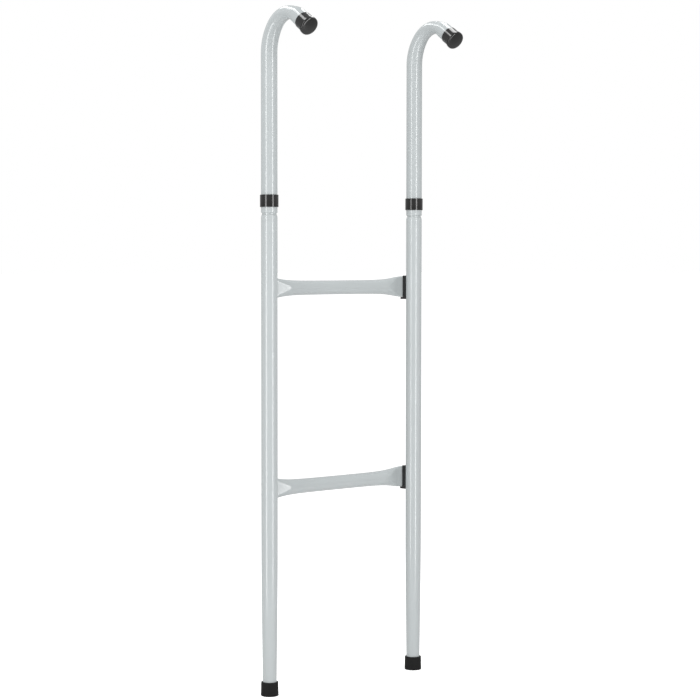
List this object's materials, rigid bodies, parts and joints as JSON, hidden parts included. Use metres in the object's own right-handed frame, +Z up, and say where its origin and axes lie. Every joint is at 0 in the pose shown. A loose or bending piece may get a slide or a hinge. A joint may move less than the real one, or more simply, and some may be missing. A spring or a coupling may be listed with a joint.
{
  "type": "hook-on ladder",
  "caption": "Hook-on ladder of round steel tube: two uprights, round treads crushed flat at their ends, and removable curved hooks with black end caps.",
  "frame": {"origin": "on the ground, midway between the two feet", "axes": "+Z up along the uprights, +X along the rungs from the left upright to the right, hooks point towards -Y"},
  "size_m": [0.3342, 0.1324, 1.0607],
  "materials": {
    "tube_finish": "light grey satin powder coat on steel tube",
    "black_plastic": "black moulded plastic with a low sheen",
    "foot_rubber": "matte black rubber",
    "zinc_plate": "zinc plated steel"
  },
  "bodies": {
    "frame": {"left_lower_stile": "tube_finish", "left_foot_cap": "foot_rubber", "right_lower_stile": "tube_finish", "right_foot_cap": "foot_rubber", "lower_rung": "tube_finish", "lower_left_spacer": "black_plastic", "lower_left_screw_1": "zinc_plate", "lower_left_screw_2": "zinc_plate", "lower_right_spacer": "black_plastic", "lower_right_screw_1": "zinc_plate", "lower_right_screw_2": "zinc_plate", "upper_rung": "tube_finish", "upper_left_spacer": "black_plastic", "upper_left_screw_1": "zinc_plate", "upper_left_screw_2": "zinc_plate", "upper_right_spacer": "black_plastic", "upper_right_screw_1": "zinc_plate", "upper_right_screw_2": "zinc_plate"},
    "left_hook": {"left_hook_tube": "tube_finish", "left_hook_cap": "black_plastic"},
    "left_collar": {"left_joint_collar": "black_plastic"},
    "right_hook": {"right_hook_tube": "tube_finish", "right_hook_cap": "black_plastic"},
    "right_collar": {"right_joint_collar": "black_plastic"}
  },
  "joints": [
    {"name": "left_hook_slide", "type": "slide", "parent": "frame", "child": "left_hook", "axis": [0, 0, 1], "range_m": [0, 0.06]},
    {"name": "left_collar_slide", "type": "slide", "parent": "left_hook", "child": "left_collar", "axis": [0, 0, 1], "range_m": [-0.02, 0.2]},
    {"name": "right_hook_slide", "type": "slide", "parent": "frame", "child": "right_hook", "axis": [0, 0, 1], "range_m": [0, 0.06]},
    {"name": "right_collar_slide", "type": "slide", "parent": "right_hook", "child": "right_collar", "axis": [0, 0, 1], "range_m": [-0.02, 0.2]}
  ]
}
